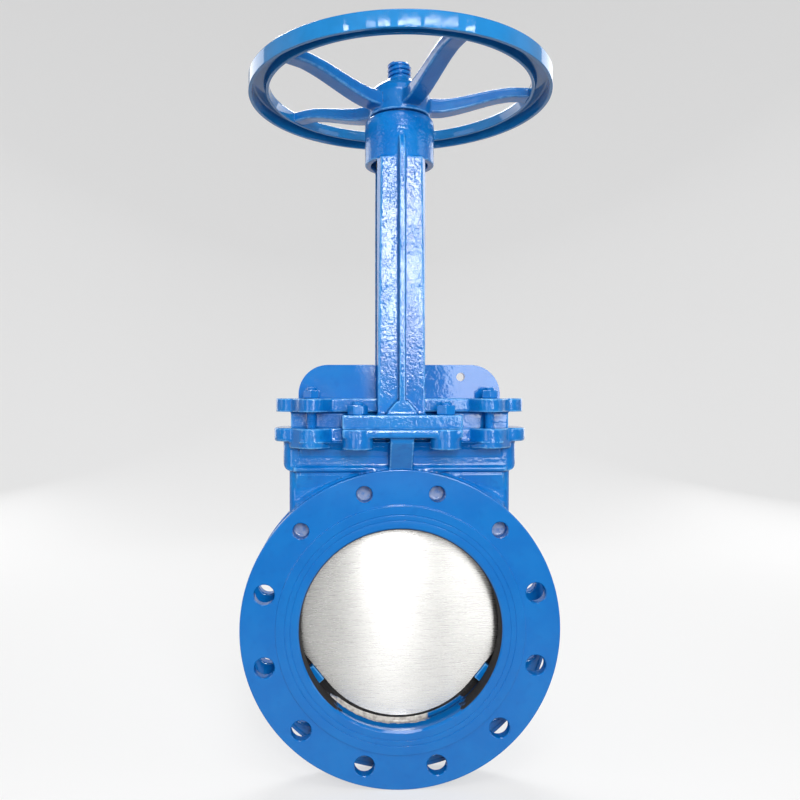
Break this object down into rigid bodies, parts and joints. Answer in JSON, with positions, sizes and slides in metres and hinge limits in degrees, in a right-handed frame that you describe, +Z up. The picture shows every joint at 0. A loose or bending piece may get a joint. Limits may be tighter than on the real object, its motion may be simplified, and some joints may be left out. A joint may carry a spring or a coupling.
{
  "type": "flanged knife gate valve",
  "caption": "Flanged knife gate valve with a stainless gate plate, rising stem, two-legged yoke and spoked handwheel that lifts the gate.",
  "frame": {"origin": "centre of the front flange's sealing face, on the axis of the bore", "axes": "+Y along the bore from the front flange to the rear flange, +Z up along the stem to the handwheel, +X to the right seen from the front"},
  "size_m": [0.405, 0.385, 0.9235],
  "materials": {
    "paint": "thick glossy blue paint over a rough casting",
    "stainless": "brushed",
    "seals": "smooth pale rubber",
    "nut_bronze": "machined"
  },
  "bodies": {
    "valve_body": {"body_casting": "paint", "wedge_left": "paint", "wedge_right": "paint", "seat_ring": "seals", "seat_retainer": "stainless", "packing_rings": "seals", "gland": "paint", "gland_stud_1": "paint", "gland_stud_2": "paint", "gland_stud_3": "paint", "gland_stud_4": "paint", "gland_nut_1": "paint", "gland_nut_2": "paint", "gland_nut_3": "paint", "gland_nut_4": "paint", "yoke": "paint", "foot_stud_1": "paint", "foot_stud_2": "paint", "foot_stud_3": "paint", "foot_stud_4": "paint", "foot_nut_1": "paint", "foot_nut_2": "paint", "foot_nut_3": "paint", "foot_nut_4": "paint", "thrust_washer": "stainless"},
    "gate": {"gate_plate": "stainless", "stem": "paint", "stem_fork": "paint", "fork_bolt_1": "stainless", "fork_bolt_2": "stainless", "fork_nut_1": "stainless", "fork_nut_2": "stainless"},
    "wheel": {"stem_nut": "nut_bronze", "handwheel": "paint"}
  },
  "joints": [
    {"name": "wheel_turn", "type": "hinge", "parent": "valve_body", "child": "wheel", "pos_m": [0, 0.035, 0.685], "axis": [0, 0, 1], "range_deg": [0, 14760]},
    {"name": "gate_lift", "type": "slide", "parent": "valve_body", "child": "gate", "axis": [0, 0, 1], "range_m": [0, 0.246]}
  ],
  "couplings": [
    {"joint": "gate_lift", "follows": "wheel_turn", "m_per_rad": 0.00095493}
  ]
}
